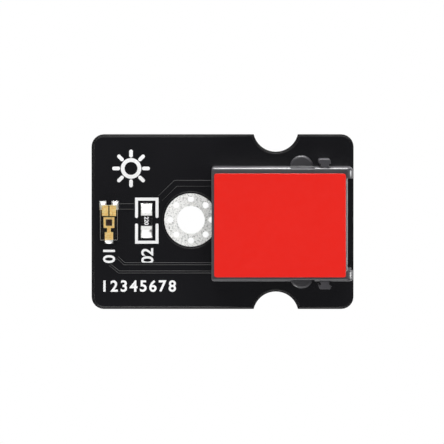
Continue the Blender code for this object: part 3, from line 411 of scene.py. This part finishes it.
# solder: at u across and v outward, x = half u (waist + flare v^4), and height = foot + rise (1 - v)^power
# (1 - crown u^4), with lumps that are two crossed waves, and a valley along the metal it wets; a toe above
# 0 bulges in its middle, below 0 at its corners; a thin film runs on below the metal
def solderBlob(node, metal, side, power, waist, flare, toe):
    low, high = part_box(node)
    metalLow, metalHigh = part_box(metal)
    inner, outer, end = (low[1], high[1], metalHigh[1]) if side > 0 else (high[1], low[1], metalLow[1])
    reach = outer - end
    middle = (low[0] + high[0]) / 2
    half = (high[0] - low[0]) / 2
    rows, columns = solderShape["across"], solderShape["outward"]
    u, v = np.meshgrid(np.linspace(-1, 1, rows), np.linspace(0, 1, columns) ** solderShape["crowding"],
                       indexing="ij")
    x = middle + half * u * (waist + flare * v ** 4)
    short = toe * np.abs(u) ** 3 if toe > 0 else -toe * (1 - u ** 4)
    y = end + reach * v * (1 - short)
    rise = high[2] - low[2] - solderShape["foot"]
    a, b, c = solderShape["waves"]
    lumps = solderShape["lump"] * np.sin(a * u + b * v + side) * np.sin(c * v) * (1 - v)
    valley = solderShape["valley"] * np.clip(1 - abs(reach) * v / solderShape["valleyWidth"], 0, 1)
    fall = (1 - v) ** power * (1 - solderShape["crown"] * u ** 4)
    z = low[2] + solderShape["foot"] + rise * fall + lumps - valley
    upper = np.stack([x, y, z], -1).reshape(-1, 3)
    lower = upper.copy()
    lower[:, 2] = low[2]
    faces = gridFaces(rows, columns)
    count = rows * columns
    faces += [[i + count for i in reversed(face)] for face in faces]
    rim = list(range(columns)) + [i * columns + columns - 1 for i in range(1, rows)]
    rim += [(rows - 1) * columns + j for j in range(columns - 2, -1, -1)]
    rim += [i * columns for i in range(rows - 2, 0, -1)]
    faces += [[j, i, i + count, j + count] for i, j in zip(rim, rim[1:] + rim[:1])]
    wide = half * waist
    outline = [(middle - wide, inner), (middle + wide, inner), (middle + wide, end), (middle - wide, end)]
    return [(np.concatenate([upper, lower]), faces), prism(outline, low[2], low[2] + solderShape["film"])]


sensorBlobs = (solderBlob("sensor_solder_left", "sensor_emitter_lead_left", **emitterSolder)
               + solderBlob("sensor_solder_right", "sensor_emitter_lead_right", **emitterSolder)
               + solderBlob("sensor_solder_lower", "sensor_collector_lead", **collectorSolder))
resistorBlobs = (solderBlob("resistor_solder_upper", "resistor_terminal_upper", **upperSolder)
                 + solderBlob("resistor_solder_lower", "resistor_terminal_lower", **lowerSolder))
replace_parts(addMesh("sensorSolder", closedMesh(sensorBlobs), solder),
            "sensor_solder_left", "sensor_solder_right", "sensor_solder_lower")
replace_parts(addMesh("resistorSolder", closedMesh(resistorBlobs), solder),
            "resistor_solder_upper", "resistor_solder_lower")

joint = {"turn": 24, "steps": 12, "power": 2.4, "wire": 0.25 * mm, "barrel": 0.38 * mm,
         "skin": 0.02 * mm}


# pin joint turned round its tail: radius = wire + (foot - wire) (1 - t)^power going down, barrel above
def pinJoint(number):
    low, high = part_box(f"jack_solder_joint_{number}")
    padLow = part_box(f"pin_hole_plating_{number}")[0][2]
    centre = (low + high) / 2
    foot = (high[0] - low[0]) / 2
    skin = joint["skin"]
    t = np.linspace(0, 1, joint["steps"])
    radius = joint["wire"] + (foot - joint["wire"]) * (1 - t) ** joint["power"] + skin
    height = padLow - skin + (low[2] - padLow + skin) * t
    radius = np.concatenate([[joint["wire"], joint["barrel"], joint["barrel"]], radius, [joint["wire"]]])
    height = np.concatenate([[high[2], high[2], padLow - skin], height, [low[2]]])
    angle = np.linspace(0, math.tau, joint["turn"], endpoint=False)
    x = centre[0] + radius[:, None] * np.cos(angle)
    y = centre[1] + radius[:, None] * np.sin(angle)
    z = np.broadcast_to(height[:, None], x.shape)
    points = np.stack([x, y, z], -1).reshape(-1, 3)
    return points, gridFaces(len(radius), joint["turn"], loopRows=True, loopColumns=True)


pinJoints = closedMesh([pinJoint(number) for number in pins])
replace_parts(addMesh("pinJoints", pinJoints, solder, smoothAngle=50),
            *named("jack_solder_joint", *pins))
print("solder")

boardLow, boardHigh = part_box("circuit_board")
topFace = boardHigh[2]
lowFace = boardLow[2]
outside = ((topFace, 1), (lowFace, -1))  # both faces of the board, and which way is up from each
sink = 0.004 * mm  # relief and print reach this far into the face below them
mitreLimit = 0.3


# ridge along a path: offset = point + w n for w over the section, n the mitred normal, closed below
def ridge(path, section, base, closed=False, up=1):
    p = np.array(path, float)
    ahead = np.roll(p, -1, 0) - p
    behind = p - np.roll(p, 1, 0)
    if not closed:
        ahead[-1] = behind[-1]
        behind[0] = ahead[0]
    ahead /= np.linalg.norm(ahead, axis=1)[:, None]
    behind /= np.linalg.norm(behind, axis=1)[:, None]
    middle = ahead + behind
    middle /= np.linalg.norm(middle, axis=1)[:, None]
    mitre = 1 / np.clip((middle * ahead).sum(1), mitreLimit, 1)
    normal = np.stack([-middle[:, 1], middle[:, 0]], 1) * mitre[:, None]
    across, rise = np.array(section, float).T
    xy = p[:, None, :] + across[None, :, None] * normal[:, None, :]
    z = np.broadcast_to((base + up * rise)[None, :, None], xy.shape[:2] + (1,))
    points = np.concatenate([xy, z], 2).reshape(-1, 3)
    count = len(section)
    faces = gridFaces(len(p), count, loopRows=closed, loopColumns=True)
    if not closed:
        faces += [list(range(count)), [count * (len(p) - 1) + i for i in reversed(range(count))]]
    return points, faces


# a section from its left half
def mirrored(left):
    return left + [(-x, z) for x, z in reversed(left)]


# centre + radius (cos a, sin a), from one angle to another in degrees
def arcPoints(centre, radius, start, end, steps):
    angle = np.radians(np.linspace(start, end, steps))
    return np.stack([centre[0] + radius * np.cos(angle), centre[1] + radius * np.sin(angle)], -1)


photoScale = {"middleX": 222.55, "middleY": 221.7, "pixelsPerMm": 8.735}


# board-plane place of a point given in photo pixels
def fromPhoto(px, py):
    scale = photoScale["pixelsPerMm"]
    return ((px - photoScale["middleX"]) / scale * mm, (photoScale["middleY"] - py) / scale * mm)


# copper tracks below the mask lift it in low ridges with soft shoulders. Each is its half width in mm and
# its points in photo pixels; the lower ones aren't in the photo
trackRidges = {
    "lift": 0.030 * mm, "shoulder": 0.07 * mm, "toeWidth": 0.3, "toeLift": 0.35,
    "upper": (
        (0.35, ((117, 206.4), (134.2, 206.4))),
        (0.37, ((159.8, 198.6), (175.6, 183.2), (214, 183.2))),
        (0.16, ((117.4, 257.2), (124.2, 263.7), (214, 263.7))),
        (0.16, ((109.5, 264.5), (118.9, 272.0), (214, 272.0))),
    ),
    "lower": (
        (0.20, ((228, 205.0), (214, 195.0), (140, 195.0), (132, 203.0))),
        (0.20, ((228, 216.1), (216, 212.0))),
        (0.30, ((228, 238.3), (214, 250.0), (150, 250.0), (140, 258.0))),
        (0.30, ((250, 243.8), (262, 256.0), (300, 256.0))),
    ),
}


# section: from the face to a toe part of the way up the shoulder, to its top, and level across
def makeTracks(name, lines, face, up):
    lift, shoulder = trackRidges["lift"], trackRidges["shoulder"]
    toe = (shoulder * trackRidges["toeWidth"], lift * trackRidges["toeLift"])
    shapes = []
    for half, points in lines:
        half *= mm
        section = mirrored([(-half, -sink), (-half + toe[0], toe[1]), (-half + shoulder, lift)])
        shapes.append(ridge([fromPhoto(*p) for p in points], section, face, up=up))
    return addMesh(name, closedMesh(shapes), mask)


topTracks = makeTracks("trackRidgesTop", trackRidges["upper"], topFace, 1)
underTracks = makeTracks("trackRidgesUnder", trackRidges["lower"], lowFace, -1)
for tracks in (topTracks, underTracks):
    breakEdges(tracks)

# the mask swells into a thin bead where the copper planes stop short of the rim, but for the jack's end
rimBead = {"inset": 0.22 * mm, "half": 0.09 * mm, "lift": 0.026 * mm, "corner": 1.4 * mm, "open": 25,
           "notchX": 6.1 * mm, "notchOut": 0.6 * mm, "notchRadius": 2.6 * mm}
rimSteps = {"section": 7, "open": 9, "corner": 12, "notch": 40}


# the board's outline set in: corners and notches as arcs, open at the jack's end
def rimPath(inset):
    halfX = boardHigh[0] - inset
    halfY = boardHigh[1] - inset
    corner = rimBead["corner"] - inset
    notch = rimBead["notchRadius"] + inset
    notchX = rimBead["notchX"]
    notchY = boardHigh[1] + rimBead["notchOut"]
    reach = math.degrees(math.asin((notchY - halfY) / notch))
    start = rimBead["open"]
    parts = [
        arcPoints((halfX - corner, halfY - corner), corner, start, 90, rimSteps["open"]),
        arcPoints((notchX, notchY), notch, -reach, -180 + reach, rimSteps["notch"]),
        arcPoints((corner - halfX, halfY - corner), corner, 90, 180, rimSteps["corner"]),
        arcPoints((corner - halfX, corner - halfY), corner, 180, 270, rimSteps["corner"]),
        arcPoints((notchX, -notchY), notch, 180 - reach, reach, rimSteps["notch"]),
        arcPoints((halfX - corner, corner - halfY), corner, -90, -start, rimSteps["open"]),
    ]
    return np.concatenate(parts)


# half ellipse: across = -half cos a, rise = lift sin a, set into the face
def beadSection(half, lift):
    turns = np.linspace(0, math.pi, rimSteps["section"])
    return [(-half * math.cos(a), lift * math.sin(a) - sink) for a in turns]


rimLine = rimPath(rimBead["inset"])
rimSection = beadSection(rimBead["half"], rimBead["lift"])
beads = [ridge(rimLine, rimSection, face, up=up) for face, up in outside]
addMesh("rimBeads", closedMesh(beads), mask)

# the mask's edge round the mounting ring is a faint raised circle
clearance = {"gap": 0.20 * mm, "half": 0.05 * mm, "lift": 0.014 * mm, "steps": 72}
ringLow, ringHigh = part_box("mounting_hole_plating")
ringCentre = ((ringLow[0] + ringHigh[0]) / 2, (ringLow[1] + ringHigh[1]) / 2)
ringRadius = (ringHigh[0] - ringLow[0]) / 2
moat = arcPoints(ringCentre, ringRadius + clearance["gap"], 0, 360, clearance["steps"] + 1)[:-1]
moatSection = beadSection(clearance["half"], clearance["lift"])
moats = [ridge(moat, moatSection, face, closed=True, up=up) for face, up in outside]
addMesh("ringMaskEdge", closedMesh(moats), mask)
print("relief under the mask")

# silkscreen: a sun for light, plain numbers beside the parts, brackets round the resistor, a row of numbers
inkPrint = {"thick": 0.014 * mm, "slope": 0.3, "line": 0.34 * mm, "capHeight": 0.73, "weight": 0.030,
            "tipSteps": 11}


# closed outline of a stroke: left side, round end, right side, round start
def strokeOutline(points, width):
    p = np.array(points, float)
    ahead = np.diff(p, axis=0)
    ahead /= np.linalg.norm(ahead, axis=1)[:, None]
    sides = {}
    for sign in (1, -1):
        normal = sign * np.stack([-ahead[:, 1], ahead[:, 0]], -1)
        corner = normal[:-1] + normal[1:]
        corner = corner / (corner * normal[:-1]).sum(1)[:, None]
        sides[sign] = p + np.concatenate([normal[:1], corner, normal[-1:]]) * width / 2
    last = math.degrees(math.atan2(ahead[-1][1], ahead[-1][0]))
    first = math.degrees(math.atan2(ahead[0][1], ahead[0][0]))
    tip = arcPoints(p[-1], width / 2, last + 90, last - 90, inkPrint["tipSteps"])[1:-1]
    tail = arcPoints(p[0], width / 2, first - 90, first - 270, inkPrint["tipSteps"])[1:-1]
    return np.concatenate([sides[1], tip, sides[-1][::-1], tail])


# a stroke as a closed prism on the board's upper face
def stroke(points, width):
    return prism(strokeOutline(points, width), topFace - sink, topFace + inkPrint["thick"])


# numbers in the built-in face, as closed prisms
def printedText(text, centre, height, turn=0, face=topFace, thick=inkPrint["thick"]):
    curve = bpy.data.curves.new("number", "FONT")
    curve.body = text
    curve.size = height / inkPrint["capHeight"]
    curve.extrude = (thick + sink) / 2
    curve.offset = inkPrint["weight"] * height
    curve.align_x = "CENTER"
    curve.align_y = "CENTER"
    item = bpy.data.objects.new("number", curve)
    bpy.context.scene.collection.objects.link(item)
    bpy.context.view_layer.update()
    shown = item.evaluated_get(bpy.context.evaluated_depsgraph_get())
    data = shown.to_mesh()
    flat = np.empty(len(data.vertices) * 3, np.float32)
    data.vertices.foreach_get("co", flat)
    faces = [list(p.vertices) for p in data.polygons]
    shown.to_mesh_clear()
    bpy.data.objects.remove(item)
    bpy.data.curves.remove(curve)
    points = flat.astype(float).reshape(-1, 3)
    points -= (points.min(0) + points.max(0)) / 2
    cosine, sine = math.cos(math.radians(turn)), math.sin(math.radians(turn))
    x = points[:, 0] * cosine - points[:, 1] * sine + centre[0]
    y = points[:, 0] * sine + points[:, 1] * cosine + centre[1]
    z = points[:, 2] + face + (thick - sink) / 2
    return np.stack([x, y, z], -1), faces


sun = {"centre": fromPhoto(131, 168.4), "disc": 0.74 * mm, "ring": 1.18 * mm, "rays": 8, "steps": 48,
       "from": 1.46 * mm, "to": 1.95 * mm, "width": 0.42 * mm}


def sunPrint():
    half, thick = (sun["ring"] - sun["disc"]) / 2, inkPrint["thick"]
    section = mirrored([(-half, -sink), (-half + inkPrint["slope"] * thick, thick)])
    circle = arcPoints(sun["centre"], (sun["disc"] + sun["ring"]) / 2, 0, 360, sun["steps"] + 1)[:-1]
    shapes = [ridge(circle, section, topFace, closed=True)]
    for i in range(sun["rays"]):
        angle = math.tau * i / sun["rays"]
        heading = np.array([math.cos(angle), math.sin(angle)])
        start = np.array(sun["centre"]) + heading * sun["from"]
        end = np.array(sun["centre"]) + heading * sun["to"]
        shapes.append(stroke([start, end], sun["width"]))
    return shapes


# in photo pixels
bracket = {"left": 136.5, "right": 157.0, "top": 199.1, "bottom": 242.2,
           "gapTop": 216.5, "gapBottom": 224.9}


def bracketPrint():
    shapes = []
    for edge, gap in (("top", "gapTop"), ("bottom", "gapBottom")):
        corners = [("left", gap), ("left", edge), ("right", edge), ("right", gap)]
        points = [fromPhoto(bracket[side], bracket[level]) for side, level in corners]
        shapes.append(stroke(points, inkPrint["line"]))
    return shapes


# places in photo pixels
partNumbers = {"height": 1.36 * mm, "places": {"01": (109, 256.4), "02": (147.3, 256.1)}}
row = {"first": 104.4, "step": 9.7, "count": 8, "middle": 286.1, "height": 1.30 * mm}


def numberPrint():
    shapes = []
    for text, place in partNumbers["places"].items():
        shapes.append(printedText(text, fromPhoto(*place), partNumbers["height"], 90))
    for i in range(row["count"]):
        place = fromPhoto(row["first"] + row["step"] * i, row["middle"])
        shapes.append(printedText(str(i + 1), place, row["height"]))
    return shapes


addMesh("silkscreen", closedMesh(sunPrint() + bracketPrint() + numberPrint()), ink, smoothAngle=30)

code = {"height": 0.47 * mm, "text": "220", "thick": 0.008 * mm}
coatLow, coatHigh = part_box("resistor_overcoat")
coatCentre = ((coatLow[0] + coatHigh[0]) / 2, (coatLow[1] + coatHigh[1]) / 2)
codeShape = printedText(code["text"], coatCentre, code["height"], -90, coatHigh[2], code["thick"])
addMesh("resistorNumber", closedMesh([codeShape]), ink, smoothAngle=30)
print("print")


# turns a lamp or camera at place towards target
def aim(item, place, target, up=(0, 1, 0)):
    ahead = (Vector(target) - Vector(place)).normalized()
    right = ahead.cross(Vector(up)).normalized()
    turn = Matrix((right, right.cross(ahead), -ahead)).transposed()
    item.matrix_world = Matrix.Translation(Vector(place)) @ turn.to_4x4()


# place, width, depth and brightness of each lamp; all look at the board, but the glow on the floor looks up
board = (0, 0, 0.005)
lamps = {
    "keyLight": ((0.0, 0.46, 0.44), 0.4, 0.12, 2.8),
    "keyFill": ((0.0, -0.46, 0.44), 0.4, 0.12, 5.6),
    "highKey": ((0.0, 0.29, 0.56), 0.5, 0.20, 5.1),
    "highFill": ((0.0, -0.29, 0.56), 0.45, 0.20, 3.0),
    "leftLight": ((-0.46, 0.0, 0.44), 0.12, 0.30, 2.6),
    "rightLight": ((0.46, 0.0, 0.44), 0.12, 0.30, 2.6),
    "lowRight": ((0.60, 0.0, 0.10), 0.16, 0.18, 36.0),
    "lowKey": ((0.0, 0.70, 0.05), 0.35, 0.09, 36.0),
    "lowFill": ((-0.34, -0.61, 0.05), 0.20, 0.09, 34.0),
    "paperGlow": ((0.007, 0.245, 0.001), 0.044, 0.41, 34.0, (0.007, 0.245, 0.3)),
}


# energy = brightness x pi x area, so that brightness is what a mirror would show
def areaLight(name, place, width, depth, brightness, target=board):
    data = bpy.data.lights.new(name, "AREA")
    data.shape = "RECTANGLE"
    data.size = width
    data.size_y = depth
    data.energy = brightness * math.pi * width * depth
    item = bpy.data.objects.new(name, data)
    bpy.context.scene.collection.objects.link(item)
    aim(item, place, target)


for name, values in lamps.items():
    areaLight(name, *values)

studio = {"paper": "#e4e4e4", "half": 1.5, "drop": 0.02 * mm, "sky": 0.07}


# matt white paper, which the camera sees as plain white, also mirrored or through the clear package
def makeFloor():
    g = Graph("whiteFloor")
    seen = g.add("LightPath", out="Is Camera Ray")
    for kind in ("Is Transmission Ray", "Is Glossy Ray"):
        seen = g.add("Math", {0: seen, 1: g.add("LightPath", out=kind)}, operation="MAXIMUM")
    glow = g.add("Emission", {"Color": (1, 1, 1, 1), "Strength": 1.0})
    g.feed(g.shader, {"Base Color": colour(studio["paper"]), "Roughness": 0.9})
    both = g.add("MixShader", {0: seen, 1: g.shader.outputs[0], 2: glow})
    g.feed(g.tree.nodes["Material Output"], {"Surface": both})
    wide = studio["half"]
    corners = [(-wide, -wide, 0), (wide, -wide, 0), (wide, wide, 0), (-wide, wide, 0)]
    data = bpy.data.meshes.new("floor")
    data.from_pydata(corners, [], [(0, 1, 2, 3)])
    data.materials.append(g.material)
    floor = bpy.data.objects.new("floor", data)
    floor.location = (0, 0, -studio["drop"])
    bpy.context.scene.collection.objects.link(floor)


def makeWorld():
    world = bpy.data.worlds.new("studio")
    bpy.context.scene.world = world
    world.use_nodes = True
    sky = world.node_tree.nodes["Background"]
    sky.inputs["Color"].default_value = (1, 1, 1, 1)
    sky.inputs["Strength"].default_value = studio["sky"]


makeFloor()
makeWorld()

cameraSetup = {"distance": 0.8, "forward": 0.0214, "width": 50.83 * mm, "sensor": 36, "near": 0.01,
               "off": (-0.063 * mm, -0.034 * mm)}


# camera above, a little towards +Y, with focal length = sensor distance / width
def makeCamera():
    data = bpy.data.cameras.new("camera")
    data.sensor_width = cameraSetup["sensor"]
    data.clip_start = cameraSetup["near"]
    data.lens = cameraSetup["sensor"] * cameraSetup["distance"] / cameraSetup["width"]
    camera = bpy.data.objects.new("camera", data)
    bpy.context.scene.collection.objects.link(camera)
    offX, offY = cameraSetup["off"]
    place = (offX, offY + cameraSetup["forward"], topFace + cameraSetup["distance"])
    aim(camera, place, (offX, offY, topFace))
    bpy.context.scene.camera = camera


makeCamera()
bpy.context.scene.view_settings.view_transform = "Standard"
print("stage")

saveBounds()
